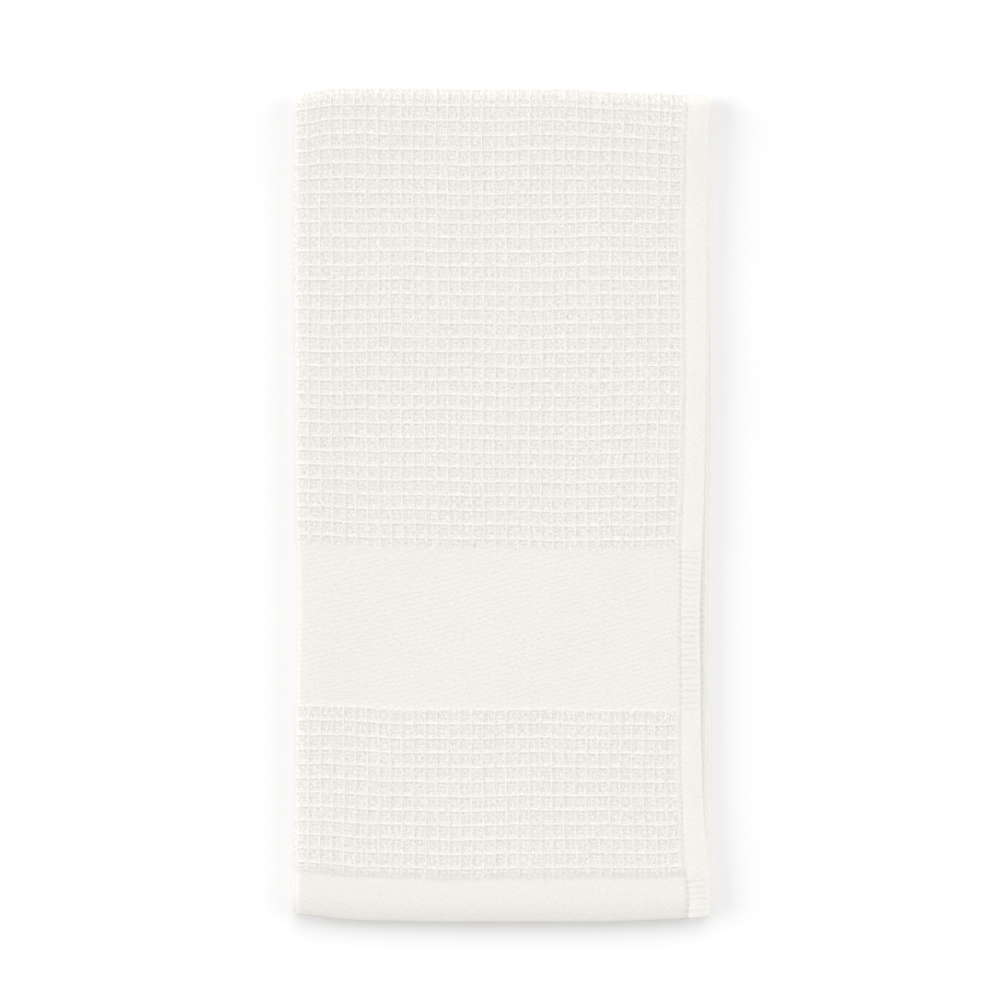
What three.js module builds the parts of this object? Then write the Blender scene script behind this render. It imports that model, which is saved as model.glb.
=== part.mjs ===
// A white waffle-weave hand towel, hemmed on all four sides, with a plain woven band near each end.
// It is folded in half lengthwise and then in half across, and lies flat in four layers: its folds are
// at the left and the top, its side hems at the right and its end hems at the bottom.
// Millimetres, +Z up. X runs across the folded towel, Y along it, and the base is at z = 0.

import * as THREE from 'three';
import { mergeVertices } from 'three/addons/utils/BufferGeometryUtils.js';

const { clamp, lerp } = THREE.MathUtils;

// Cut of the cloth, hemmed and laid flat
const TOWEL_WIDTH = 406;
const TOWEL_LENGTH = 825;
const SIDE_HEM = 10.5;
const END_HEM = 21.8;
const BAND_TO_END = 104;
const BAND_WIDTH = 80;
const HALF_WIDTH = TOWEL_WIDTH / 2;
const HALF_LENGTH = TOWEL_LENGTH / 2;

// Thickness of the cloth
const WAFFLE_THICKNESS = 2.2;
const BAND_THICKNESS = 1.3;
const HEM_THICKNESS = 2.4;
const SEAM_THICKNESS = 1.4;
const RIM_THICKNESS = 1.2;
const SEAM_SHOULDER = 1.6;
const BAND_SHOULDER = 1.8;

// Section of a hem: share of its width in from the rim, where the stitched seam is at 1
const HEM_SECTION = [
  { share: 0, thickness: RIM_THICKNESS },
  { share: 0.12, thickness: 2.1 },
  { share: 0.45, thickness: HEM_THICKNESS },
  { share: 0.85, thickness: 2.1 },
  { share: 1, thickness: SEAM_THICKNESS },
];

// Height from layer to layer, which is the cloth and a little air, and what the folds add to it
const LAYER_PITCH = 2.9;
const TOP_FOLD_LOFT = 0.35;
const TOP_FOLD_REACH = 70;
const SIDE_FOLD_LOFT = 0.15;
const SIDE_FOLD_REACH = 35;

// How far each upright edge strays to +X, by distance below the top fold. Layers count from the front:
// the first and second share the front fold, and the third and fourth the back one.
const SIDE_DRIFT = [
  { below: 0, frontFold: 0.2, backFold: 0.2, first: 1.8, second: 0.8, third: 0.8, fourth: 1.8 },
  { below: 20, frontFold: 0.0, backFold: -1.5, first: 0.2, second: 1.0, third: 1.6, fourth: 2.5 },
  { below: 75, frontFold: 0.0, backFold: -1.6, first: -0.1, second: 1.2, third: 2.8, fourth: 4.3 },
  { below: 130, frontFold: 0.2, backFold: -0.8, first: 0.0, second: 1.6, third: 3.6, fourth: 5.5 },
  { below: 190, frontFold: 0.3, backFold: -0.3, first: -1.0, second: 1.2, third: 2.8, fourth: 4.3 },
  { below: 255, frontFold: 1.2, backFold: 0.3, first: -3.4, second: 0.6, third: 2.0, fourth: 3.3 },
  { below: 310, frontFold: 0.5, backFold: -0.2, first: -2.8, second: 0.6, third: 2.0, fourth: 3.2 },
  { below: 345, frontFold: 0.2, backFold: -0.6, first: -2.0, second: 0.4, third: 1.6, fourth: 2.7 },
  { below: 383, frontFold: 0.2, backFold: -1.6, first: 0.3, second: 1.0, third: 2.0, fourth: 3.1 },
  { below: 398, frontFold: 0.0, backFold: -1.9, first: 2.2, second: 1.4, third: 1.8, fourth: 2.6 },
  { below: 412, frontFold: 0.2, backFold: -1.6, first: 1.0, second: 0.8, third: 0.8, fourth: 0.9 },
];

// How far the top fold and the end hems are drawn in, by distance across from the lengthwise fold
const END_DRIFT = [
  { across: 0, top: 2.5, bottom: 3.6 },
  { across: 6, top: 1.6, bottom: 3.0 },
  { across: 12, top: 0.2, bottom: 2.0 },
  { across: 28, top: -0.4, bottom: 0.7 },
  { across: 76, top: 0.0, bottom: 0.0 },
  { across: 130, top: 0.2, bottom: 0.0 },
  { across: 155, top: 1.6, bottom: 0.2 },
  { across: 190, top: 3.0, bottom: 1.6 },
  { across: 203, top: 3.4, bottom: 3.0 },
];
const TOP_DRIFT_REACH = 60;
const BOTTOM_DRIFT_REACH = 90;

// How far the end hem of each fold and layer stops short of the front one
const HEM_SHORTFALL = { frontFold: 0, backFold: 1.0, first: 0, second: 1.4, third: 2.0, fourth: 0.8 };

// Divisions of the cloth: steps round each fold, distances past the folds across and down the upper
// part, and distances from the end in the band and below it
const SIDE_FOLD_STEPS = 3;
const TOP_FOLD_STEPS = 4;
const ACROSS_DIVISIONS = [6, 12, 28, 76, 130, 155];
const UPPER_DIVISIONS = [20, 75, 130, 180];
const BAND_DIVISIONS = [130, 155];
const LOWER_DIVISIONS = [65];
const MERGE_WITHIN = 1e-4;

// Value of one column of a table, read between its rows
function columnAt(table, key, at, column) {
  const found = table.findIndex((row) => row[key] >= at);
  const next = found < 0 ? table.length - 1 : Math.max(found, 1);
  const low = table[next - 1];
  const high = table[next];
  const share = clamp((at - low[key]) / (high[key] - low[key]), 0, 1);
  return lerp(low[column], high[column], share);
}

// Soft fall from 1 to 0 over a reach
function fade(distance, reach) {
  return 0.5 + 0.5 * Math.cos(Math.PI * Math.min(distance / reach, 1));
}

// Thickness across a hem and its seam, and past them that of the open cloth
function hemThickness(inset, width, openThickness) {
  if (inset > width) {
    return lerp(SEAM_THICKNESS, openThickness, Math.min((inset - width) / SEAM_SHOULDER, 1));
  }
  return columnAt(HEM_SECTION, 'share', inset / width, 'thickness');
}

// Thickness of the cloth by its distances from a side edge and from an end
function clothThickness(fromSide, fromEnd) {
  const bandMiddle = BAND_TO_END + BAND_WIDTH / 2;
  const outsideBand = Math.abs(fromEnd - bandMiddle) - BAND_WIDTH / 2 + BAND_SHOULDER;
  const openThickness = lerp(BAND_THICKNESS, WAFFLE_THICKNESS, clamp(outsideBand / BAND_SHOULDER, 0, 1));
  return hemThickness(fromSide, SIDE_HEM, hemThickness(fromEnd, END_HEM, openThickness));
}

// Height from layer to layer by the distances from the lengthwise fold and from the top fold
function layerPitch(fromSideFold, fromTopFold) {
  const topLoft = TOP_FOLD_LOFT * fade(fromTopFold, TOP_FOLD_REACH);
  const sideLoft = SIDE_FOLD_LOFT * fade(fromSideFold, SIDE_FOLD_REACH);
  return LAYER_PITCH + topLoft + sideLoft;
}

// Name of the layer that a point of the flat cloth ends in
function layerOf(across, along) {
  if (along <= 0) {
    return across > 0 ? 'first' : 'second';
  }
  return across > 0 ? 'fourth' : 'third';
}

// Where a point of the flat cloth lies once the towel is folded. The lengthwise fold is at across = 0
// and the top fold at along = 0; face is 1 on the outer side of the cloth and -1 on its inner side.
function foldedPoint(across, along, face) {
  const fromSideFold = Math.abs(across);
  const fromTopFold = Math.abs(along);
  const thickness = clothThickness(HALF_WIDTH - fromSideFold, HALF_LENGTH - fromTopFold);
  const pitch = layerPitch(fromSideFold, fromTopFold);

  // Turn of the cloth round each fold, a quarter turn for each half
  const sideRadius = pitch / 2;
  const sideTurn = Math.min(fromSideFold / sideRadius, Math.PI / 2);
  const topTurn = Math.min(fromTopFold / pitch, Math.PI / 2);
  const pastSideFold = fromSideFold - sideRadius * sideTurn;
  const pastTopFold = fromTopFold - pitch * topTurn;

  // The bottom layer is pressed flat on what the towel lies on
  const outerShare = Math.max(0, Math.sign(across) * Math.sin(sideTurn));
  const backShare = Math.max(0, Math.sign(along) * Math.sin(topTurn));
  const pressed = outerShare * backShare * (HEM_THICKNESS - thickness) / 2;
  const offset = face * thickness / 2 + pressed;

  // Fold lengthwise, then fold that pair of layers across
  const sideReach = sideRadius + offset;
  const pairHeight = Math.sign(across) * sideReach * Math.sin(sideTurn);
  const topReach = pitch + pairHeight;
  const middle = 1.5 * pitch + HEM_THICKNESS / 2;
  const point = new THREE.Vector3(
    pastSideFold - sideReach * Math.cos(sideTurn),
    topReach * Math.cos(topTurn) - pastTopFold,
    middle - Math.sign(along) * topReach * Math.sin(topTurn),
  );

  // Uneven edges of the stack
  const layer = layerOf(across, along);
  const fold = along <= 0 ? 'frontFold' : 'backFold';
  const hemShare = pastSideFold / HALF_WIDTH;
  const endShare = pastTopFold / HALF_LENGTH;
  const fromEnd = HALF_LENGTH - fromTopFold;
  const foldDrift = columnAt(SIDE_DRIFT, 'below', pastTopFold, fold);
  const hemDrift = columnAt(SIDE_DRIFT, 'below', pastTopFold, layer);
  const topDrift = columnAt(END_DRIFT, 'across', pastSideFold, 'top');
  const bottomDrift = columnAt(END_DRIFT, 'across', pastSideFold, 'bottom');
  const shortfall = lerp(HEM_SHORTFALL[fold], HEM_SHORTFALL[layer], hemShare);
  point.x += lerp(foldDrift, hemDrift, hemShare);
  point.y += bottomDrift * fade(fromEnd, BOTTOM_DRIFT_REACH) + shortfall * endShare;
  point.y -= topDrift * fade(pastTopFold, TOP_DRIFT_REACH);
  return point;
}

// Even steps from one distance to another, the last one left out
function evenSteps(from, to, steps) {
  return Array.from({ length: steps }, (_, step) => lerp(from, to, step / steps));
}

// Divisions across a hem, from the open cloth beside its seam out to the rim
function hemDivisions(edge, width) {
  const inHem = HEM_SECTION.map((row) => edge - row.share * width).reverse();
  return [edge - width - SEAM_SHOULDER, ...inHem];
}

// Divisions of one half of the cloth, repeated on both sides of its middle line
function mirrored(half) {
  const other = half.slice(1).map((at) => -at).reverse();
  return [...other, ...half];
}

function acrossDivisions() {
  const foldArc = (LAYER_PITCH + SIDE_FOLD_LOFT) * Math.PI / 4;
  const open = ACROSS_DIVISIONS.map((at) => at + foldArc);
  const fold = evenSteps(0, foldArc, SIDE_FOLD_STEPS);
  const hem = hemDivisions(HALF_WIDTH, SIDE_HEM);
  return mirrored([...fold, foldArc, ...open, ...hem]);
}

function alongDivisions() {
  const foldArc = (LAYER_PITCH + TOP_FOLD_LOFT + SIDE_FOLD_LOFT) * Math.PI / 2;
  const fold = evenSteps(0, foldArc, TOP_FOLD_STEPS);
  const upper = UPPER_DIVISIONS.map((at) => at + foldArc);
  const bandBottom = HALF_LENGTH - BAND_TO_END;
  const bandTop = bandBottom - BAND_WIDTH;
  const band = BAND_DIVISIONS.map((fromEnd) => HALF_LENGTH - fromEnd).reverse();
  const lower = LOWER_DIVISIONS.map((fromEnd) => HALF_LENGTH - fromEnd).reverse();
  const bandEdges = [bandTop, bandTop + BAND_SHOULDER, ...band, bandBottom - BAND_SHOULDER, bandBottom];
  const hem = hemDivisions(HALF_LENGTH, END_HEM);
  return mirrored([...fold, foldArc, ...upper, ...bandEdges, ...lower, ...hem]);
}

// The cloth as a flat slab with its divisions, every point of it then carried to its folded place
function foldedCloth() {
  const across = acrossDivisions();
  const along = alongDivisions();
  const columns = across.length - 1;
  const rows = along.length - 1;
  const slab = new THREE.BoxGeometry(TOWEL_WIDTH, TOWEL_LENGTH, WAFFLE_THICKNESS, columns, rows, 1);
  const place = slab.attributes.position;
  for (let i = 0; i < place.count; i += 1) {
    const column = Math.round((place.getX(i) / TOWEL_WIDTH + 0.5) * columns);
    const row = Math.round((place.getY(i) / TOWEL_LENGTH + 0.5) * rows);
    const point = foldedPoint(across[column], along[row], Math.sign(place.getZ(i)));
    place.setXYZ(i, point.x, point.y, point.z);
  }
  slab.deleteAttribute('normal');
  slab.deleteAttribute('uv');
  const cloth = mergeVertices(slab, MERGE_WITHIN);
  cloth.computeVertexNormals();
  return cloth;
}

// Put the origin under the middle of the towel, on the surface that it lies on
function standOnOrigin(geometry) {
  geometry.computeBoundingBox();
  const middle = geometry.boundingBox.getCenter(new THREE.Vector3());
  return geometry.translate(-middle.x, -middle.y, -geometry.boundingBox.min.z);
}

const ivoryCotton = new THREE.MeshStandardMaterial({ color: 0xf0ede8, roughness: 0.95, metalness: 0 });

const towel = new THREE.Mesh(standOnOrigin(foldedCloth()), ivoryCotton);
towel.name = 'towel';

const foldedTowel = new THREE.Group();
foldedTowel.add(towel);

export default foldedTowel;
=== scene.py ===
"""A folded ivory waffle-weave hand towel: one hemmed cloth in four layers, with its sewing thread.

The cloth is worked out in millimetres, flat, and then folded as the CAD solid is. Its meshes are in metres.
"""
import math

import bmesh
import bpy
import numpy as np
from mathutils import Matrix, Vector


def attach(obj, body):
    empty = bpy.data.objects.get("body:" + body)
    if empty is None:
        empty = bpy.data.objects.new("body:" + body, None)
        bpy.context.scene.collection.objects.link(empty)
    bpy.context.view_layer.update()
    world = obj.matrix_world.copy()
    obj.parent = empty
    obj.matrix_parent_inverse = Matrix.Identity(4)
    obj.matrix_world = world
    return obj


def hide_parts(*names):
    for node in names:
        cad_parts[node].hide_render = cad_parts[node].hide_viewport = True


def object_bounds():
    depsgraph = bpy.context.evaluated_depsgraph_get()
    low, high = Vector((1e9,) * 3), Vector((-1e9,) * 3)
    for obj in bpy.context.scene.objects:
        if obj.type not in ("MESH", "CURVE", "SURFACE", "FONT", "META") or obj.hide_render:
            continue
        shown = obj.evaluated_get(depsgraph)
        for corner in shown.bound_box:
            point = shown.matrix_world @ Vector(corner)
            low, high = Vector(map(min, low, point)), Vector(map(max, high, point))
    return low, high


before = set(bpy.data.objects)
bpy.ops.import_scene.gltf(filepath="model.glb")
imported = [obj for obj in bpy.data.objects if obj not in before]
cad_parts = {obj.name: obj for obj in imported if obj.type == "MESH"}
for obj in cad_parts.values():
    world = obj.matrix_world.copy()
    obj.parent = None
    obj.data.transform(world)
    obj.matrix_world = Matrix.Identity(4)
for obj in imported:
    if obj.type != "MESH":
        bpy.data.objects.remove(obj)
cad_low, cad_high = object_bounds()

MM = 0.001

# Cut of the cloth, hemmed and laid flat
TOWEL_WIDTH = 406
TOWEL_LENGTH = 825
HALF_WIDTH = TOWEL_WIDTH / 2
HALF_LENGTH = TOWEL_LENGTH / 2
SIDE_HEM = 10.5
END_HEM = 21.8
BAND_TO_END = 104
BAND_WIDTH = 82
BAND_TOP = BAND_TO_END + BAND_WIDTH

# Thickness of the cloth
WAFFLE_THICKNESS = 2.2
BAND_THICKNESS = 1.3
HEM_THICKNESS = 2.4
SEAM_THICKNESS = 1.3
SEAM_SHOULDER = 1.6
BAND_SHOULDER = 1.8

# Section of a hem: share of its width in from the rim, where the stitched seam is at 1
HEM_SECTION = {
    "share": (0, 0.03, 0.1, 0.25, 0.5, 0.75, 0.9, 1),
    "thickness": (1.5, 2.05, 2.3, 2.38, HEM_THICKNESS, 2.35, 2.1, SEAM_THICKNESS),
}

# Waffle cells: columns count from the lengthwise fold, rows from the end hem and from the band
COLUMN_COUNT = 33
COLUMN_LAST = HALF_WIDTH - 12.3
COLUMN_PITCH = COLUMN_LAST / COLUMN_COUNT
LOWER_ROW_FIRST = 26.8
LOWER_ROW_PITCH = 7.14
LOWER_ROW_COUNT = 11
UPPER_ROW_FIRST = 189.6
UPPER_ROW_PITCH = 7.145
UPPER_ROW_COUNT = 63
WAFFLE_RELIEF = 0.42
COLUMN_RIDGE_SHARE = 0.75
COLUMN_RIDGE_WIDTH = 0.105
ROW_RIDGE_WIDTH = 0.09
CELL_UNEVENNESS = 0.3

# Raised lips of the band, and how uneven the ridges of the waffle are
BAND_LIP = 0.25
BAND_LIP_INSET = 0.8
BAND_LIP_WIDTH = 0.7
CREST_SHARE = 0.82
CHANCE_SEED = 11
CHANCE_CELLS = 80

# Ribs across the side hems: their size, and how they start at the rim, the seam and the end
RIB_PITCH = 3.0
RIB_HEIGHT = 0.16
RIB_RIM_INSET = 0.8
RIB_RIM_EASE = 1.2
RIB_PAST_SEAM = 0.6
RIB_SEAM_EASE = 1.0
RIB_FROM_END = 1

# Stitches, and the puckers that they pull
STITCH_PITCH = 2.9
PUCKER_HEIGHT = 0.12
PUCKER_REACH = 2.0

# Height from layer to layer, and what the folds add to it
LAYER_PITCH = 2.9
TOP_FOLD_LOFT = 0.35
TOP_FOLD_REACH = 70
SIDE_FOLD_LOFT = 0.15
SIDE_FOLD_REACH = 35

# How far each upright edge strays to +X, by distance below the top fold. Layers count from the front.
SIDE_DRIFT = {
    "below": (0, 20, 75, 130, 190, 255, 310, 345, 383, 398, 412),
    "front_fold": (0.2, 0.0, 0.0, 0.2, 0.3, 1.2, 0.5, 0.2, 0.2, 0.0, 0.2),
    "back_fold": (0.2, -1.5, -1.6, -0.8, -0.3, 0.3, -0.2, -0.6, -1.6, -1.9, -1.6),
    "first": (1.8, 0.2, -0.1, 0.0, -1.0, -3.4, -2.8, -2.0, 0.3, 2.2, 1.0),
    "second": (0.8, 1.0, 1.2, 1.6, 1.2, 0.6, 0.6, 0.4, 1.0, 1.4, 0.8),
    "third": (0.8, 1.6, 2.8, 3.6, 2.8, 2.0, 2.0, 1.6, 2.0, 1.8, 0.8),
    "fourth": (1.8, 2.5, 4.3, 5.5, 4.3, 3.3, 3.2, 2.7, 3.1, 2.6, 0.9),
}
SIDE_DRIFT_EASE = 6
HEM_DRIFT_POWER = 3

# How far the top fold and the end hems are drawn in, by distance across from the lengthwise fold
END_DRIFT = {
    "across": (0, 6, 12, 28, 76, 130, 155, 190, 203),
    "top": (2.5, 1.6, 0.2, -0.4, 0.0, 0.2, 1.6, 3.0, 3.4),
    "bottom": (3.6, 3.0, 2.0, 0.7, 0.0, 0.0, 0.2, 1.6, 3.0),
}
END_DRIFT_EASE = 4
TOP_DRIFT_REACH = 60
BOTTOM_DRIFT_REACH = 90

# How far the end hem of each fold and layer stops short of the front one
HEM_SHORTFALL = {
    "front_fold": 0, "back_fold": 1.0, "first": 0, "second": 1.4, "third": 2.0, "fourth": 0.8,
}

# How far the rows rise to the lengthwise fold, where along the cloth, and how far that reaches
ROW_RISE = 2.6
ROW_RISE_FROM_END = 160
ROW_RISE_ACROSS = 90
ROW_RISE_ALONG = 165

# Waves of the weave in its own plane: how far threads stray, and the lengths of the waves
ROW_WAVES = (
    {"height": 0.40, "across": 118, "along": 390, "start": 0.10},
    {"height": 0.18, "across": 47, "along": -150, "start": 0.55},
    {"height": 0.10, "across": -21, "along": 63, "start": 0.30},
)
COLUMN_WAVES = (
    {"height": 0.35, "across": 310, "along": 140, "start": 0.70},
    {"height": 0.20, "across": -90, "along": 52, "start": 0.20},
)
WAVE_EDGE = 14

# Gentle swell of the whole stack
SWELLS = (
    {"height": 0.22, "across": 210, "along": 260, "start": 0.15},
    {"height": 0.12, "across": -95, "along": 120, "start": 0.60},
)

# Where the mesh is cut, as shares of a cell and as distances
COLUMN_CUTS = (0, 0.1, 0.22, 0.78, 0.9)
ROW_CUTS = (0, 0.08, 0.17, 0.29, 0.71, 0.83, 0.92)
BACK_ROW_CUTS = (0, 0.5)
FOLD_CUTS = (0.4, 0.8, 1.2, 1.6, 2.0, 2.4)
TOP_FOLD_CUTS = (0.8, 1.6, 2.4, 3.2, 4.0, 4.8, 5.6)
HIDDEN_ACROSS = (12, 30, 70, 110, 150, 180)
HIDDEN_ALONG = (8, 20, 60, 110, 160, 210, 260, 310, 360)
BAND_CUTS = 6
LEAST_CUT = 0.3
RIM_BULGE = 0.3

# Where the tones of the material lie: past a seam, and how far each reaches. The seam tones are painted
# shade in the sunk seams, the rim and fold tones a painted highlight, and the end rim tone painted shade.
SIDE_STRIP_EASE = 0.8
END_SEAM_PAST = 0.8
END_SEAM_REACH = 1.6
SIDE_SEAM_PAST = 0.4
SIDE_SEAM_REACH = 1.4
SIDE_SEAM_FAINT = 0.3
# Reach of the painted highlight at the side rims, wider on the hidden layers
FRONT_RIM_HIGHLIGHT_REACH = 1.6
BACK_RIM_HIGHLIGHT_REACH = 4.5
# Reach of the painted highlight along the lengthwise fold
FOLD_HIGHLIGHT_REACH = 16
# Reach of the painted shade towards the end rims
END_RIM_SHADE_REACH = 12


def eased(table, key, at, column, ease):
    """One column of a table between its rows, with the corners eased over a short distance."""
    spans = np.linspace(-ease, ease, 7)
    return sum(np.interp(at + span, table[key], table[column]) for span in spans) / len(spans)


def fade(distance, reach):
    """A soft fall from 1 to 0 over a reach."""
    return 0.5 + 0.5 * np.cos(np.pi * np.clip(distance / reach, 0, 1))


def ramp(distance, reach):
    """A straight rise from 0 to 1 over a reach."""
    return np.clip(distance / reach, 0, 1)


def waves(across, along, table):
    """The sum of a few long waves over the cloth."""
    total = np.zeros_like(across)
    for wave in table:
        turns = across / wave["across"] + along / wave["along"] + wave["start"]
        total += wave["height"] * np.sin(2 * np.pi * turns)
    return total


def hem_thickness(inset, width, open_thickness):
    """Thickness across a hem and its seam, and past them that of the open cloth."""
    beside = SEAM_THICKNESS + (open_thickness - SEAM_THICKNESS) * ramp(inset - width, SEAM_SHOULDER)
    inside = np.interp(inset / width, HEM_SECTION["share"], HEM_SECTION["thickness"])
    return np.where(inset > width, beside, inside)


def band_share(from_end):
    """1 on the plain band and 0 on the waffle beside it."""
    outside = np.abs(from_end - BAND_TO_END - BAND_WIDTH / 2) - BAND_WIDTH / 2 + BAND_SHOULDER
    return 1 - ramp(outside, BAND_SHOULDER)


def cloth_thickness(from_side, from_end):
    """Thickness of the cloth by its distances from a side edge and from an end."""
    open_thickness = WAFFLE_THICKNESS + (BAND_THICKNESS - WAFFLE_THICKNESS) * band_share(from_end)
    return hem_thickness(from_side, SIDE_HEM, hem_thickness(from_end, END_HEM, open_thickness))


def ridge(distance, width):
    """Height of a ridge by the share of a cell from its crest: a round crest on a low slope."""
    crest = np.exp(-((distance / width) ** 2))
    slope = np.clip(1 - 2 * distance, 0, 1)
    return CREST_SHARE * crest + (1 - CREST_SHARE) * slope


def waffle(across, along):
    """The waffle at points of the flat cloth: its share, cell column and row, and depth of the pit."""
    from_end = HALF_LENGTH - np.abs(along)
    column = np.abs(across) / COLUMN_PITCH
    upper = from_end > BAND_TO_END + BAND_WIDTH / 2
    upper_row = (HALF_LENGTH + along - UPPER_ROW_FIRST) / UPPER_ROW_PITCH
    lower_row = (from_end - LOWER_ROW_FIRST) / LOWER_ROW_PITCH
    row = np.where(upper, upper_row, lower_row)
    column_ridge = ridge(np.abs(column - np.round(column)), COLUMN_RIDGE_WIDTH)
    row_ridge = ridge(np.abs(row - np.round(row)), ROW_RIDGE_WIDTH)
    beside_hems = ramp(COLUMN_LAST + SEAM_SHOULDER / 2 - np.abs(across), SEAM_SHOULDER)
    above_hem = ramp(from_end - END_HEM - SEAM_SHOULDER / 2, SEAM_SHOULDER)
    share = beside_hems * above_hem * (1 - band_share(from_end))
    chance = np.random.default_rng(CHANCE_SEED).uniform(-1, 1, (2, 2, 2, CHANCE_CELLS, CHANCE_CELLS))
    cell = (
        (across > 0).astype(int),
        (along > 0).astype(int),
        upper.astype(int),
        np.floor(column).astype(int) % CHANCE_CELLS,
        np.floor(row).astype(int) % CHANCE_CELLS,
    )
    pit = (1 - row_ridge) * (1 - COLUMN_RIDGE_SHARE * column_ridge)
    pit *= 1 + CELL_UNEVENNESS * chance[cell]
    return share, column, row, pit


def ladder_share(from_side, from_end):
    """1 where the side hem is ribbed by its stitches: beside the plain band and over the end hem."""
    on_strip = ramp(from_side - RIB_RIM_INSET, RIB_RIM_EASE)
    on_strip = on_strip * ramp(SIDE_HEM + RIB_PAST_SEAM - from_side, RIB_SEAM_EASE)
    on_end_hem = ramp(END_HEM - from_end, BAND_SHOULDER) * ramp(from_end - RIB_FROM_END, BAND_SHOULDER)
    return on_strip * np.maximum(band_share(from_end), on_end_hem)


def outer_relief(across, along):
    """How far the outer face of the cloth stands off its smooth form."""
    from_side = HALF_WIDTH - np.abs(across)
    from_end = HALF_LENGTH - np.abs(along)
    share, _, _, pit = waffle(across, along)
    relief = -WAFFLE_RELIEF * share * pit
    for lip in (BAND_TO_END + BAND_LIP_INSET, BAND_TOP - BAND_LIP_INSET):
        height = BAND_LIP * np.exp(-((from_end - lip) / BAND_LIP_WIDTH) ** 2)
        relief += height * ramp(from_side - SIDE_HEM, SEAM_SHOULDER)
    grooves = (0.5 + 0.5 * np.cos(2 * np.pi * along / RIB_PITCH)) ** 2
    relief -= RIB_HEIGHT * ladder_share(from_side, from_end) * grooves
    end_seam = fade(np.abs(from_end - END_HEM), PUCKER_REACH) * (from_side > SIDE_HEM)
    relief += PUCKER_HEIGHT * end_seam * np.cos(2 * np.pi * across / STITCH_PITCH)
    return relief


def layer_pick(across, along, first, second, third, fourth):
    """The value of the layer that each point ends in."""
    front = np.where(across > 0, first, second)
    back = np.where(across > 0, fourth, third)
    return np.where(along <= 0, front, back)


def folded(across, along, face, relief):
    """Where points of the flat cloth lie once it is folded lengthwise and then across, as in the CAD solid.

    face is 1 on the outer side of the cloth and -1 on its inner side; relief stands off that side.
    """
    from_side_fold = np.abs(across)
    from_top_fold = np.abs(along)
    from_end = HALF_LENGTH - from_top_fold
    thickness = cloth_thickness(HALF_WIDTH - from_side_fold, from_end)
    top_loft = TOP_FOLD_LOFT * fade(from_top_fold, TOP_FOLD_REACH)
    side_loft = SIDE_FOLD_LOFT * fade(from_side_fold, SIDE_FOLD_REACH)
    pitch = LAYER_PITCH + top_loft + side_loft

    # Turn of the cloth round each fold, a quarter turn for each half
    side_radius = pitch / 2
    side_turn = np.minimum(from_side_fold / side_radius, np.pi / 2)
    top_turn = np.minimum(from_top_fold / pitch, np.pi / 2)
    past_side_fold = from_side_fold - side_radius * side_turn
    past_top_fold = from_top_fold - pitch * top_turn

    # The bottom layer is pressed flat on what the towel lies on
    outer_share = np.maximum(0, np.sign(across) * np.sin(side_turn))
    back_share = np.maximum(0, np.sign(along) * np.sin(top_turn))
    pressed = outer_share * back_share * (HEM_THICKNESS - thickness) / 2
    offset = face * (thickness / 2 + relief) + pressed

    # Fold lengthwise, then fold that pair of layers across
    side_reach = side_radius + offset
    top_reach = pitch + np.sign(across) * side_reach * np.sin(side_turn)
    x = past_side_fold - side_reach * np.cos(side_turn)
    y = top_reach * np.cos(top_turn) - past_top_fold
    z = 1.5 * pitch + HEM_THICKNESS / 2 - np.sign(along) * top_reach * np.sin(top_turn)

    # Uneven edges of the stack
    drift = {
        name: eased(SIDE_DRIFT, "below", past_top_fold, name, SIDE_DRIFT_EASE)
        for name in SIDE_DRIFT if name != "below"
    }
    layers = ("first", "second", "third", "fourth")
    hem_share = (past_side_fold / HALF_WIDTH) ** HEM_DRIFT_POWER
    fold_drift = np.where(along <= 0, drift["front_fold"], drift["back_fold"])
    hem_drift = layer_pick(across, along, *(drift[name] for name in layers))
    x += fold_drift + (hem_drift - fold_drift) * hem_share
    fold_short = np.where(along <= 0, HEM_SHORTFALL["front_fold"], HEM_SHORTFALL["back_fold"])
    hem_short = layer_pick(across, along, *(HEM_SHORTFALL[name] for name in layers))
    y += (fold_short + (hem_short - fold_short) * hem_share) * past_top_fold / HALF_LENGTH
    bottom_drift = eased(END_DRIFT, "across", past_side_fold, "bottom", END_DRIFT_EASE)
    top_drift = eased(END_DRIFT, "across", past_side_fold, "top", END_DRIFT_EASE)
    y += bottom_drift * fade(from_end, BOTTOM_DRIFT_REACH) - top_drift * fade(past_top_fold, TOP_DRIFT_REACH)

    # Rows rise to the lengthwise fold beside the band
    rise = fade(np.abs(from_end - ROW_RISE_FROM_END), ROW_RISE_ALONG)
    y += ROW_RISE * rise * fade(past_side_fold, ROW_RISE_ACROSS)

    # Threads stray a little inside the edges, and the stack swells gently
    to_side = np.minimum(past_side_fold, HALF_WIDTH - from_side_fold)
    to_end = np.minimum(past_top_fold, from_end)
    inside = 1 - fade(np.minimum(to_side, to_end), WAVE_EDGE)
    x += inside * waves(across, along, COLUMN_WAVES)
    y += inside * waves(across, along, ROW_WAVES)
    z += z / (4 * LAYER_PITCH) * waves(x, y, SWELLS)
    return np.stack([x, y, z], axis=-1)


def spaced(cuts):
    """Cuts in order, without those that lie closer than the least spacing."""
    kept = []
    for cut in sorted(cuts):
        if not kept or cut - kept[-1] > LEAST_CUT:
            kept.append(cut)
    return kept


def hem_cuts(edge, width, every=1):
    """Cuts across a hem, from the cloth beside its seam out to the rim."""
    shares = HEM_SECTION["share"][::every]
    return [edge - width - SEAM_SHOULDER, *(edge - share * width for share in reversed(shares))]


def row_cuts(first, pitch, rows, shares):
    """Cuts through rows of cells, at the given shares of each cell."""
    return [first + (row + share) * pitch for row in rows for share in shares]


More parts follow.
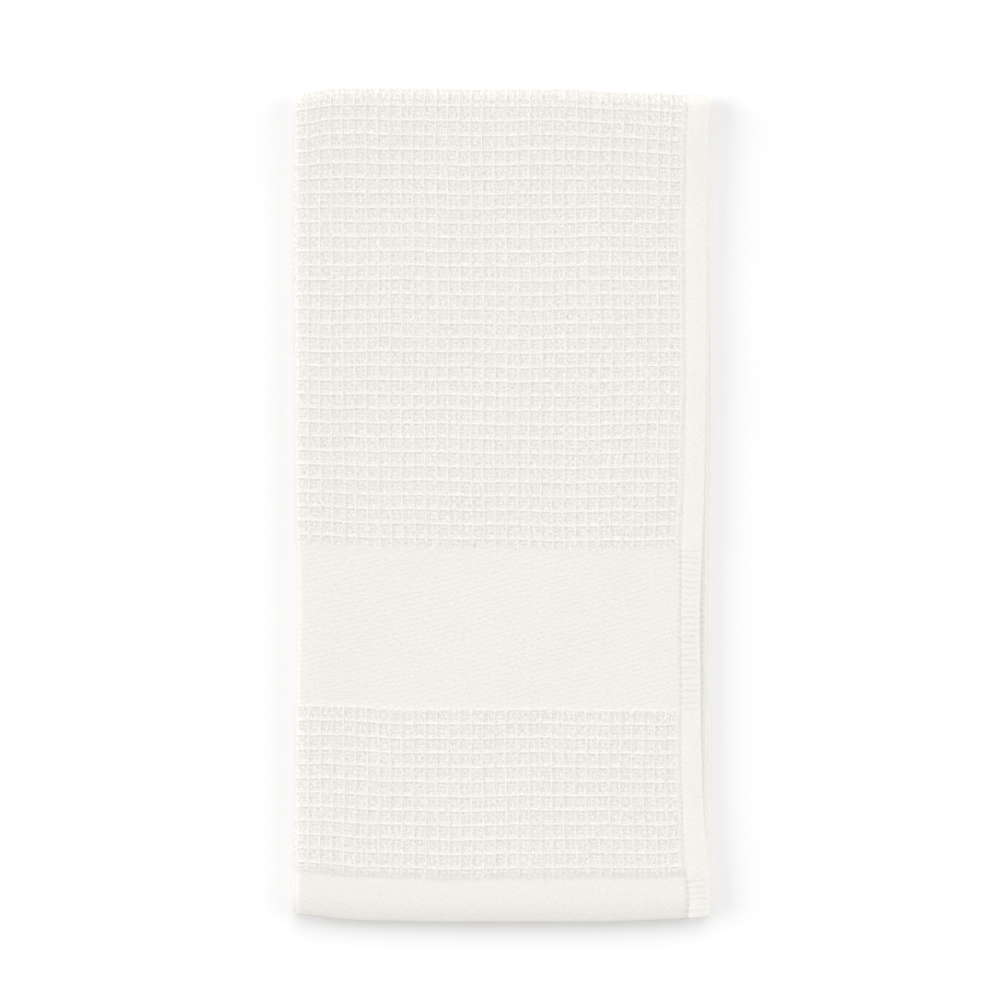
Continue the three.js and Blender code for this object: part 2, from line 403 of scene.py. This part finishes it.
def outer_across_cuts():
    """Cuts of the half that ends in the first and fourth layers, from the lengthwise fold to the rim."""
    cells = [(k + cut) * COLUMN_PITCH for k in range(COLUMN_COUNT) for cut in COLUMN_CUTS]
    rim = [cut for cut in hem_cuts(HALF_WIDTH, SIDE_HEM) if cut > COLUMN_LAST]
    return spaced([cut for cut in cells if cut > FOLD_CUTS[-1]] + [0, *FOLD_CUTS, COLUMN_LAST] + rim)


def inner_across_cuts():
    """Cuts of the half that ends in the hidden layers, fine only where it comes round the fold."""
    return spaced([0, *FOLD_CUTS, COLUMN_PITCH, *HIDDEN_ACROSS, *hem_cuts(HALF_WIDTH, SIDE_HEM)])


def front_along_cuts():
    """Cuts of the front layers by distance from the end: hem, lower rows, band and upper rows."""
    hem = [HALF_LENGTH - cut for cut in hem_cuts(HALF_LENGTH, END_HEM)]
    lower = row_cuts(LOWER_ROW_FIRST, LOWER_ROW_PITCH, range(-1, LOWER_ROW_COUNT), ROW_CUTS)
    lower = [cut for cut in lower if END_HEM + SEAM_SHOULDER < cut < BAND_TO_END]
    ribs = list(np.arange(BAND_TO_END + 1, BAND_TOP, RIB_PITCH / 2))
    edges = [BAND_TO_END, BAND_TOP]
    upper = row_cuts(UPPER_ROW_FIRST, UPPER_ROW_PITCH, range(-1, UPPER_ROW_COUNT), ROW_CUTS)
    fold = [HALF_LENGTH - cut for cut in (0, *TOP_FOLD_CUTS)]
    upper = [cut for cut in upper if BAND_TOP < cut < fold[-1]]
    return spaced(hem + lower + ribs + edges + upper + fold)


def back_along_cuts():
    """Cuts of the back layers by distance from the end, one at each ridge and one at each pit."""
    hem = [HALF_LENGTH - cut for cut in hem_cuts(HALF_LENGTH, END_HEM, every=2)]
    lower = row_cuts(LOWER_ROW_FIRST, LOWER_ROW_PITCH, range(LOWER_ROW_COUNT), BACK_ROW_CUTS)
    lower = [cut for cut in lower if cut < BAND_TO_END]
    band = list(np.linspace(BAND_TO_END + BAND_SHOULDER, BAND_TOP - BAND_SHOULDER, BAND_CUTS))
    rows = row_cuts(UPPER_ROW_FIRST, UPPER_ROW_PITCH, range(UPPER_ROW_COUNT), BACK_ROW_CUTS)
    fold = [HALF_LENGTH - cut for cut in (0, *TOP_FOLD_CUTS)]
    upper = [TOWEL_LENGTH - cut for cut in rows if BAND_TOP < TOWEL_LENGTH - cut < fold[-1]]
    return spaced(hem + lower + [BAND_TO_END, BAND_TOP] + band + upper + fold)


def add_face_grid(bm, across, along, face):
    """One side of the flat cloth as a grid, cut at the given distances."""
    made = bmesh.ops.create_grid(bm, x_segments=len(across) - 1, y_segments=len(along) - 1, size=1)["verts"]
    for vert in made:
        column = round((vert.co.x + 1) / 2 * (len(across) - 1))
        row = round((vert.co.y + 1) / 2 * (len(along) - 1))
        vert.co = (across[column], along[row], face)


def both_ways(cuts):
    """Cuts to both sides of a fold."""
    return [-cut for cut in reversed(cuts[1:])] + cuts


def flat_cloth():
    """The flat cloth, closed: a fine outer side, the wall of its rim, and a plain inner side."""
    outer_across = [-cut for cut in reversed(inner_across_cuts()[1:])] + outer_across_cuts()
    front = [cut - HALF_LENGTH for cut in front_along_cuts()]
    back = [HALF_LENGTH - cut for cut in reversed(back_along_cuts())]
    plain_across = spaced([0, *FOLD_CUTS[1::2], *HIDDEN_ACROSS, *hem_cuts(HALF_WIDTH, SIDE_HEM)[:-2]])
    plain_along = spaced([0, *TOP_FOLD_CUTS[1::2], *HIDDEN_ALONG, *hem_cuts(HALF_LENGTH, END_HEM)[:-2]])
    bm = bmesh.new()
    add_face_grid(bm, outer_across, front + back[1:], 1)
    for face, bulge in ((0, RIM_BULGE), (-1, 0)):
        rims = [edge for edge in bm.edges if edge.is_boundary]
        wall = bmesh.ops.extrude_edge_only(bm, edges=rims)["geom"]
        for vert in (item for item in wall if isinstance(item, bmesh.types.BMVert)):
            at_side = abs(vert.co.x) > HALF_WIDTH - LEAST_CUT / 2
            at_end = abs(vert.co.y) > HALF_LENGTH - LEAST_CUT / 2
            x = math.copysign(HALF_WIDTH + bulge, vert.co.x) if at_side else vert.co.x
            y = math.copysign(HALF_LENGTH + bulge, vert.co.y) if at_end else vert.co.y
            vert.co = (x, y, face)
    add_face_grid(bm, both_ways(plain_across), both_ways(plain_along), -1)
    rims = [edge for edge in bm.edges if edge.is_boundary]
    bmesh.ops.triangle_fill(bm, edges=rims, use_beauty=True, normal=(0, 0, -1))
    bmesh.ops.recalc_face_normals(bm, faces=bm.faces)
    mesh = bpy.data.meshes.new("towel_cloth")
    bm.to_mesh(mesh)
    bm.free()
    return mesh


def places_of(mesh):
    """The points of a mesh as an array."""
    flat = np.empty(len(mesh.vertices) * 3)
    mesh.vertices.foreach_get("co", flat)
    return flat.reshape(-1, 3)


def cloth_measures(across, along):
    """What the material reads at each point: shares of each weave and tone, and places in the cells."""
    share, column, row, _ = waffle(across, along)
    from_side = HALF_WIDTH - np.abs(across)
    from_end = HALF_LENGTH - np.abs(along)
    side_strip = ramp(SIDE_HEM - from_side, SIDE_STRIP_EASE)
    # Masks of painted shade along the sunk end and side seams
    end_seam = fade(np.abs(from_end - END_HEM - END_SEAM_PAST), END_SEAM_REACH)
    side_seam = fade(np.abs(from_side - SIDE_HEM - SIDE_SEAM_PAST), SIDE_SEAM_REACH)
    seam_shows = np.maximum(band_share(from_end), from_end < END_HEM)
    # The painted highlight at the rims reaches further on the hidden layers, over their shaded steps
    rim_highlight_reach = layer_pick(across, along, FRONT_RIM_HIGHLIGHT_REACH, BACK_RIM_HIGHLIGHT_REACH, BACK_RIM_HIGHLIGHT_REACH, BACK_RIM_HIGHLIGHT_REACH)
    return {
        "waffle": share,
        "column": column,
        "row": row,
        "band": band_share(from_end) * (1 - side_strip),
        "side_hem": side_strip,
        "end_seam": end_seam * (1 - side_strip),
        "side_seam": side_seam * (SIDE_SEAM_FAINT + (1 - SIDE_SEAM_FAINT) * seam_shows),
        # painted highlight at the side rims
        "rim": fade(from_side, rim_highlight_reach),
        # painted highlight along the lengthwise fold
        "fold": fade(np.abs(across), FOLD_HIGHLIGHT_REACH),
        # painted shade towards the end rims
        "end_rim_shade": fade(from_end, END_RIM_SHADE_REACH) * (1 - side_strip),
        "ladder": ladder_share(from_side, from_end),
    }


def towel_cloth():
    """The folded cloth, with its flat places and the shares of its weaves kept for the material."""
    mesh = flat_cloth()
    across, along, face = places_of(mesh).T
    relief = np.where(face > 0, outer_relief(across, along), 0)
    places = folded(across, along, face, relief)
    shift = cad_shift(places)
    mesh.vertices.foreach_set("co", ((places + shift) * MM).ravel())
    for name, values in cloth_measures(across, along).items():
        mesh.attributes.new(name, "FLOAT", "POINT").data.foreach_set("value", values.astype(np.float32))
    corners = np.empty(len(mesh.loops), np.int32)
    mesh.loops.foreach_get("vertex_index", corners)
    uv = np.stack([across, along], axis=-1)[corners] * MM
    mesh.uv_layers.new(name="cloth").uv.foreach_set("vector", uv.astype(np.float32).ravel())
    mesh.polygons.foreach_set("use_smooth", np.ones(len(mesh.polygons), bool))
    mesh.update()
    return new_piece("towel_cloth", mesh), shift


def cad_shift(places):
    """The move that sets the folded cloth on the middle of the CAD box, on its base."""
    middle = (cad_low + cad_high) / 2 / MM
    low, high = places.min(axis=0), places.max(axis=0)
    return np.array([middle.x - (low[0] + high[0]) / 2, middle.y - (low[1] + high[1]) / 2, -low[2]])


def new_piece(name, mesh):
    """A mesh as an object at the origin."""
    piece = bpy.data.objects.new(name, mesh)
    bpy.context.scene.collection.objects.link(piece)
    return piece


# Sewing thread of the hems
THREAD_RADIUS = 0.24
STITCH_SHARE = 0.86
STITCH_LIFT = 0.1
END_SEAM_START = 2.5
END_SEAM_STOP = 1
SIDE_SEAM_START = 2.0
SIDE_SEAM_STOP = 7


def seam_runs():
    """Each stitched seam as points along it on the flat cloth: side seams of both faces, and end seams."""
    side = HALF_WIDTH - SIDE_HEM
    end = HALF_LENGTH - END_HEM
    half_run = np.arange(STITCH_PITCH / 2, side - END_SEAM_STOP, STITCH_PITCH)
    long_run = np.arange(SIDE_SEAM_START, HALF_LENGTH - SIDE_SEAM_STOP, STITCH_PITCH)
    for sign in (-1, 1):
        yield np.full_like(long_run, side), sign * (HALF_LENGTH - long_run)
        yield half_run + END_SEAM_START, np.full_like(half_run, sign * end)


def hem_stitches(shift):
    """Stitches along the seams of the front and bottom layers, each a slim rounded length of thread."""
    bm = bmesh.new()
    for across, along in seam_runs():
        relief = outer_relief(across, along) + STITCH_LIFT
        centres = folded(across, along, np.ones_like(across), relief) + shift
        centres[:, 2] = np.maximum(centres[:, 2], THREAD_RADIUS)
        runs = np.gradient(centres, axis=0)
        for centre, run in zip(centres, runs):
            turn = Vector(run).to_track_quat("X", "Z").to_matrix().to_4x4()
            size = Matrix.Diagonal((STITCH_PITCH * STITCH_SHARE / 2, THREAD_RADIUS, THREAD_RADIUS, 1))
            place = Matrix.Scale(MM, 4) @ Matrix.Translation(Vector(centre)) @ turn @ size
            bmesh.ops.create_icosphere(bm, subdivisions=1, radius=1, matrix=place)
    mesh = bpy.data.meshes.new("hem_stitches")
    bm.to_mesh(mesh)
    bm.free()
    mesh.polygons.foreach_set("use_smooth", np.ones(len(mesh.polygons), bool))
    return new_piece("hem_stitches", mesh)


# Materials, in metres
IVORY = (0.893, 0.868, 0.83, 1)
IVORY_SHADE = (0.758, 0.733, 0.695, 1)
YARN_PITCH = 0.00072
YARN_STRAY = 0.0006
YARN_BUMP = 0.00012
FUZZ_BUMP = 0.00005
THREAD_BUMP = 0.00004
TWILL_PITCH = 0.0025
TWILL_RISE = math.radians(15)
TWILL_STRAY = TWILL_PITCH * 1.1
TWILL_WIDE_SHARE = 0.4

# Ridges and yarns of a waffle cell, as shares of the cell or of the space between yarns
CREST_WIDTH = 0.14
# The beside width is that of the painted shade beside each column ridge
BESIDE_SHADE_WIDTH = 0.34
ROW_YARNS = 3.7
ROW_YARN_LEAD = 0.3
ROW_YARN_STRENGTH = 0.5
COLUMN_YARNS = 3
YARN_WIDTH = 0.3
RIDGE_HEIGHT = 1.5

# Tones from ivory, 0, to its shade, 1; below 0 is paler than ivory. The ridge tone is a painted highlight on
# the ridges and yarns, and the pit and beside tones are painted shade in the pits and beside the column
# ridges.
RIDGE_HIGHLIGHT_TONE = -1.15
PIT_SHADE_TONE = 0.44
BESIDE_SHADE_TONE = 0.5
SLUB_TONE = 1.2
WAFFLE_SLUB_TONE = 3.5
FIBRE_TONE = 0.1
PALEST_TONE = -0.62
# The rim and fold tones are painted highlight, and the end rim tone is painted shade
PLACE_TONES = {"band": 0.5, "rim": -0.4, "fold": -0.1, "end_rim_shade": 0.5, "side_hem": -0.2}
# Painted shade in the needle holes and along the sunk seams; the end seam breaks into paler dashes
SIDE_HOLE_SHADE_TONE = 0.6
SIDE_SEAM_SHADE_TONE = 0.2
END_HOLE_SHADE_TONE = 0.5
END_SEAM_SHADE_TONE = -0.6
RIB_STRAY = RIB_PITCH * MM * 0.9

# Unevenness of the weave: scale of its noise across and along the cloth, how much it varies, and from what
UNEVEN = {
    "row_ridges": {"scale": (130, 230, 1), "varies": 0.5, "least": 0.85},
    "column_ridges": {"scale": (230, 130, 1), "varies": 1.4, "least": 0.75},
    "column_yarns": {"scale": (420, 210, 1), "varies": 1.7, "least": -0.3},
    "column_stray": {"scale": (110, 170, 1), "varies": 1, "least": 0},
    # painted shade in the end seam, in uneven dashes
    "end_seam": {"scale": (330, 330, 1), "varies": 2.2, "least": END_SEAM_SHADE_TONE},
    "across_slub": {"scale": (520, 2000, 1), "varies": 1, "least": -0.5},
    "along_slub": {"scale": (2000, 520, 1), "varies": 1, "least": -0.5},
    "twill": {"scale": (420, 700, 1), "varies": TWILL_STRAY, "least": 0},
    "fine_twill": {"scale": (500, 900, 1), "varies": 1, "least": 0},
    # ribs and rib strength: place and strength of the painted shade in the rib grooves
    "ribs": {"scale": (150, 330, 1), "varies": RIB_STRAY, "least": 0},
    "rib_shade_strength": {"scale": (250, 250, 1), "varies": 1, "least": 0},
}


def add_node(tree, kind, **settings):
    """A node of a tree, with its settings; a setting named after a socket gives that socket's value."""
    node = tree.nodes.new(kind)
    for name, value in settings.items():
        if name in node.bl_rna.properties:
            setattr(node, name, value)
        else:
            node.inputs[name].default_value = value
    return node


def feed(tree, sockets, values):
    """Links or sets each socket by what it is given: another socket or a plain value."""
    for socket, value in zip(sockets, values):
        if isinstance(value, bpy.types.NodeSocket):
            tree.links.new(value, socket)
        else:
            socket.default_value = value


def calc(tree, operation, *values):
    """A Math node; returns its output."""
    node = add_node(tree, "ShaderNodeMath", operation=operation)
    feed(tree, node.inputs, values)
    return node.outputs[0]


def mix(tree, share, low, high):
    """A number between two others."""
    node = tree.nodes.new("ShaderNodeMix")
    feed(tree, (node.inputs[0], node.inputs[2], node.inputs[3]), (share, low, high))
    return node.outputs[0]


def swing(tree, place, pitch):
    """A wave from 0 to 1 along a distance, one crest in each pitch."""
    sine = calc(tree, "SINE", calc(tree, "MULTIPLY", place, 2 * math.pi / pitch))
    return calc(tree, "MULTIPLY_ADD", sine, 0.5, 0.5)


def noise(tree, place, scale, detail=2, roughness=0.5):
    """Noise from 0 to 1, with features about 1 / scale across; scale may differ along each axis."""
    stretch = add_node(tree, "ShaderNodeVectorMath", operation="MULTIPLY")
    tree.links.new(place, stretch.inputs[0])
    stretch.inputs[1].default_value = scale
    node = add_node(tree, "ShaderNodeTexNoise", Scale=1, Detail=detail, Roughness=roughness)
    tree.links.new(stretch.outputs[0], node.inputs["Vector"])
    return node.outputs["Fac"]


def uneven(tree, place, name):
    """Noise of one kind from the table of the weave's unevenness."""
    kind = UNEVEN[name]
    return calc(tree, "MULTIPLY_ADD", noise(tree, place, kind["scale"]), kind["varies"], kind["least"])


def crest(tree, cell, width):
    """1 on the ridge that starts each cell, falling to 0 within a share of the cell."""
    away = calc(tree, "PINGPONG", cell, 0.5)
    fall = add_node(tree, "ShaderNodeMapRange", interpolation_type="SMOOTHSTEP")
    feed(tree, fall.inputs[:5], (away, 0, width, 1, 0))
    return fall.outputs[0]


def measure(tree, name):
    """A number kept at each point of the cloth."""
    return add_node(tree, "ShaderNodeAttribute", attribute_name=name).outputs["Fac"]


def cotton_fibre_group():
    """Loose cotton fibre, shared by cloth and thread: fine fuzz, and a slow drift of tone."""
    group = bpy.data.node_groups.new("cotton_fibre", "ShaderNodeTree")
    group.interface.new_socket("Place", in_out="INPUT", socket_type="NodeSocketVector")
    group.interface.new_socket("Fuzz", in_out="OUTPUT", socket_type="NodeSocketFloat")
    group.interface.new_socket("Tone", in_out="OUTPUT", socket_type="NodeSocketFloat")
    place = group.nodes.new("NodeGroupInput").outputs["Place"]
    given = group.nodes.new("NodeGroupOutput")
    group.links.new(noise(group, place, (2600, 2600, 2600), detail=3, roughness=0.65), given.inputs["Fuzz"])
    group.links.new(noise(group, place, (45, 45, 45)), given.inputs["Tone"])
    return group


def strayed_place(tree, place):
    """Places on the cloth, pushed about a little so that no yarn runs dead straight."""
    drift = add_node(tree, "ShaderNodeTexNoise", Scale=160, Detail=1)
    push = add_node(tree, "ShaderNodeVectorMath", operation="MULTIPLY_ADD")
    tree.links.new(place, drift.inputs["Vector"])
    feed(tree, push.inputs, (drift.outputs["Color"], (YARN_STRAY, YARN_STRAY, 0), place))
    split = tree.nodes.new("ShaderNodeSeparateXYZ")
    tree.links.new(push.outputs[0], split.inputs[0])
    return split.outputs[0], split.outputs[1]


def twill_height(tree, place, across, along):
    """Fine slanting ribs of the band, broken into short lengths."""
    rise = calc(tree, "MULTIPLY", along, math.cos(TWILL_RISE))
    rise = calc(tree, "MULTIPLY_ADD", across, -math.sin(TWILL_RISE), rise)
    rise = calc(tree, "ADD", rise, uneven(tree, place, "twill"))
    wide = calc(tree, "MULTIPLY", swing(tree, rise, TWILL_PITCH), TWILL_WIDE_SHARE)
    fine = calc(tree, "MULTIPLY", swing(tree, rise, TWILL_PITCH / 2), uneven(tree, place, "fine_twill"))
    return calc(tree, "ADD", wide, fine)


def waffle_ridges(tree, place):
    """Row and column ridges of uneven strength, and fainter yarns inside each cell."""
    row = measure(tree, "row")
    column = measure(tree, "column")
    row_crest = calc(tree, "MULTIPLY", crest(tree, row, CREST_WIDTH), uneven(tree, place, "row_ridges"))
    column_crest = crest(tree, column, CREST_WIDTH)
    column_crest = calc(tree, "MULTIPLY", column_crest, uneven(tree, place, "column_ridges"))
    row_yarns = calc(tree, "MULTIPLY_ADD", calc(tree, "FRACT", row), ROW_YARNS, ROW_YARN_LEAD)
    row_yarns = calc(tree, "MULTIPLY", crest(tree, row_yarns, YARN_WIDTH), ROW_YARN_STRENGTH)
    column_yarns = calc(tree, "MULTIPLY_ADD", column, COLUMN_YARNS, uneven(tree, place, "column_stray"))
    column_yarns = crest(tree, column_yarns, YARN_WIDTH)
    column_yarns = calc(tree, "MULTIPLY", column_yarns, uneven(tree, place, "column_yarns"))
    crests = calc(tree, "MAXIMUM", row_crest, column_crest)
    yarns = calc(tree, "MAXIMUM", row_yarns, column_yarns)
    return calc(tree, "MAXIMUM", crests, yarns)


def weave_height(tree, place, across, along, ridges):
    """Height of the yarns: plain weave, the ridges of the waffle, and the twill of the band."""
    warp = swing(tree, across, YARN_PITCH)
    weft = swing(tree, along, YARN_PITCH)
    plain = calc(tree, "ABSOLUTE", calc(tree, "SUBTRACT", warp, weft))
    waffle_height = calc(tree, "MULTIPLY_ADD", ridges, RIDGE_HEIGHT, plain)
    height = mix(tree, measure(tree, "waffle"), plain, waffle_height)
    height = mix(tree, measure(tree, "band"), height, twill_height(tree, place, across, along))
    return mix(tree, measure(tree, "side_hem"), height, plain)


def seam_hole_shade(tree, run, tone, least):
    """Painted shade of the needle holes along a seam, over a least tone."""
    holes = calc(tree, "POWER", swing(tree, run, STITCH_PITCH * MM), 2)
    return calc(tree, "MULTIPLY_ADD", holes, tone, least)


def weave_tone(tree, place, across, along, ridges, fibre_tone):
    """Tone of the cloth: painted highlight on the ridges, rims and fold, painted shade in the pits, seams,
    rib grooves and towards the end rims, and slubs in both yarns.
    """
    waffle_share = measure(tree, "waffle")
    slub = calc(tree, "ADD", uneven(tree, place, "across_slub"), uneven(tree, place, "along_slub"))
    slub = calc(tree, "MULTIPLY", slub, mix(tree, waffle_share, SLUB_TONE, WAFFLE_SLUB_TONE))
    # Painted shade in the pits and beside each column ridge, and a painted highlight on the ridges and yarns
    beside = crest(tree, measure(tree, "column"), BESIDE_SHADE_WIDTH)
    beside = calc(tree, "MULTIPLY_ADD", beside, BESIDE_SHADE_TONE, PIT_SHADE_TONE)
    tone = calc(tree, "MULTIPLY_ADD", ridges, RIDGE_HIGHLIGHT_TONE, beside)
    tone = calc(tree, "MULTIPLY_ADD", tone, waffle_share, slub)
    tone = calc(tree, "MULTIPLY_ADD", fibre_tone, FIBRE_TONE, tone)
    # Painted highlight at the rims and along the fold, painted shade towards the end rims, and the tones of
    # the band and side hem
    for name, strength in PLACE_TONES.items():
        tone = calc(tree, "MULTIPLY_ADD", measure(tree, name), strength, tone)
    # Painted shade in the grooves between the side hem ribs
    rib_run = calc(tree, "ADD", along, uneven(tree, place, "ribs"))
    groove_shade = calc(tree, "POWER", swing(tree, rib_run, RIB_PITCH * MM), 3)
    groove_shade = calc(tree, "MULTIPLY", groove_shade, uneven(tree, place, "rib_shade_strength"))
    tone = calc(tree, "MULTIPLY_ADD", measure(tree, "ladder"), groove_shade, tone)
    # Painted shade in the sunk seams and their needle holes
    end_hole_shade = seam_hole_shade(tree, across, END_HOLE_SHADE_TONE, uneven(tree, place, "end_seam"))
    tone = calc(tree, "MULTIPLY_ADD", measure(tree, "end_seam"), end_hole_shade, tone)
    side_hole_shade = seam_hole_shade(tree, along, SIDE_HOLE_SHADE_TONE, SIDE_SEAM_SHADE_TONE)
    tone = calc(tree, "MULTIPLY_ADD", measure(tree, "side_seam"), side_hole_shade, tone)
    return calc(tree, "MAXIMUM", tone, PALEST_TONE)


def towel_material(fibre_group):
    """Matt ivory cotton: thin ridges with a painted highlight round pits in painted shade, a twill band,
    ribbed hems and sunk seams.
    """
    material = bpy.data.materials.new("waffle_cotton")
    material.use_nodes = True
    tree = material.node_tree
    shader = tree.nodes["Principled BSDF"]
    place = add_node(tree, "ShaderNodeUVMap", uv_map="cloth").outputs["UV"]
    fibre = add_node(tree, "ShaderNodeGroup", node_tree=fibre_group)
    tree.links.new(place, fibre.inputs["Place"])
    across, along = strayed_place(tree, place)
    ridges = waffle_ridges(tree, place)
    height = weave_height(tree, place, across, along, ridges)
    tone = weave_tone(tree, place, across, along, ridges, fibre.outputs["Tone"])
    tint = add_node(tree, "ShaderNodeMix", data_type="RGBA", clamp_factor=False)
    feed(tree, (tint.inputs[0], tint.inputs[6], tint.inputs[7]), (tone, IVORY, IVORY_SHADE))
    tree.links.new(tint.outputs[2], shader.inputs["Base Color"])
    rough = calc(tree, "MULTIPLY_ADD", fibre.outputs["Fuzz"], 0.16, 0.82)
    tree.links.new(rough, shader.inputs["Roughness"])
    yarn_bump = add_node(tree, "ShaderNodeBump", Strength=1.0, Distance=YARN_BUMP)
    fuzz_bump = add_node(tree, "ShaderNodeBump", Strength=1.0, Distance=FUZZ_BUMP)
    tree.links.new(height, yarn_bump.inputs["Height"])
    tree.links.new(fibre.outputs["Fuzz"], fuzz_bump.inputs["Height"])
    tree.links.new(yarn_bump.outputs["Normal"], fuzz_bump.inputs["Normal"])
    tree.links.new(fuzz_bump.outputs["Normal"], shader.inputs["Normal"])
    shader.inputs["Specular IOR Level"].default_value = 0.2
    shader.inputs["Sheen Weight"].default_value = 0.15
    shader.inputs["Sheen Roughness"].default_value = 0.6
    return material


def thread_material(fibre_group):
    """Ivory sewing thread, fuzzed like the cloth."""
    material = bpy.data.materials.new("hem_thread")
    material.use_nodes = True
    tree = material.node_tree
    shader = tree.nodes["Principled BSDF"]
    place = tree.nodes.new("ShaderNodeTexCoord").outputs["Object"]
    fibre = add_node(tree, "ShaderNodeGroup", node_tree=fibre_group)
    tree.links.new(place, fibre.inputs["Place"])
    tint = add_node(tree, "ShaderNodeMix", data_type="RGBA", clamp_factor=True)
    feed(tree, (tint.inputs[0], tint.inputs[6], tint.inputs[7]), (fibre.outputs["Tone"], IVORY, IVORY_SHADE))
    tree.links.new(tint.outputs[2], shader.inputs["Base Color"])
    rough = calc(tree, "MULTIPLY_ADD", fibre.outputs["Fuzz"], 0.2, 0.6)
    tree.links.new(rough, shader.inputs["Roughness"])
    bump = add_node(tree, "ShaderNodeBump", Strength=1.0, Distance=THREAD_BUMP)
    tree.links.new(fibre.outputs["Fuzz"], bump.inputs["Height"])
    tree.links.new(bump.outputs["Normal"], shader.inputs["Normal"])
    shader.inputs["Sheen Weight"].default_value = 0.15
    return material


# Stage, light and camera, in metres
FLOOR_SIZE = 6.0
FLOOR_GAP = 0.0002
FLOOR_COLOUR = (0.93, 0.93, 0.93, 1)
FRAME_WIDTH = 0.495
LENS = 100
SENSOR = 36
TOWEL_OFF_CENTRE = 0.0022
ROOM_LIGHT = 0.575
LAMPS = (
    {"name": "key", "from": (0.02, 0.72, 0.85), "power": 0.76, "spread": 50},
    {"name": "left", "from": (-0.88, 0.10, 0.47), "power": 1.42, "spread": 45},
    {"name": "right", "from": (0.88, 0.10, 0.47), "power": 0.88, "spread": 45},
)


def add_floor():
    """A plain pale floor."""
    bm = bmesh.new()
    bmesh.ops.create_grid(bm, x_segments=1, y_segments=1, size=FLOOR_SIZE / 2)
    bmesh.ops.translate(bm, verts=bm.verts, vec=(0, 0, -FLOOR_GAP))
    mesh = bpy.data.meshes.new("floor")
    bm.to_mesh(mesh)
    bm.free()
    floor = new_piece("floor", mesh)
    material = bpy.data.materials.new("pale_floor")
    material.use_nodes = True
    shader = material.node_tree.nodes["Principled BSDF"]
    shader.inputs["Base Color"].default_value = FLOOR_COLOUR
    shader.inputs["Roughness"].default_value = 0.9
    shader.inputs["Specular IOR Level"].default_value = 0.1
    mesh.materials.append(material)


def add_light():
    """Soft studio light: an even white room, a broad light past the top, and a low one at each side."""
    world = bpy.data.worlds.new("studio")
    world.use_nodes = True
    background = world.node_tree.nodes["Background"]
    background.inputs["Color"].default_value = (1, 1, 1, 1)
    background.inputs["Strength"].default_value = ROOM_LIGHT
    bpy.context.scene.world = world
    for lamp in LAMPS:
        light = bpy.data.lights.new(lamp["name"], "SUN")
        light.energy = lamp["power"]
        light.angle = math.radians(lamp["spread"])
        holder = bpy.data.objects.new(lamp["name"], light)
        holder.location = lamp["from"]
        holder.rotation_euler = (-Vector(lamp["from"])).to_track_quat("-Z", "Y").to_euler()
        bpy.context.scene.collection.objects.link(holder)


def add_camera():
    """A long lens straight above the towel."""
    lens = bpy.data.cameras.new("camera")
    lens.lens = LENS
    lens.sensor_width = SENSOR
    camera = bpy.data.objects.new("camera", lens)
    height = FRAME_WIDTH * LENS / SENSOR + cad_high.z
    camera.location = (-TOWEL_OFF_CENTRE, TOWEL_OFF_CENTRE, height)
    bpy.context.scene.collection.objects.link(camera)
    bpy.context.scene.camera = camera
    bpy.context.scene.view_settings.view_transform = "Standard"


def main():
    cloth, shift = towel_cloth()
    stitches = hem_stitches(shift)
    fibre_group = cotton_fibre_group()
    cloth.data.materials.append(towel_material(fibre_group))
    stitches.data.materials.append(thread_material(fibre_group))
    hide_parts("towel")
    for piece in (cloth, stitches):
        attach(piece, "root")
    add_floor()
    add_light()
    add_camera()


main()
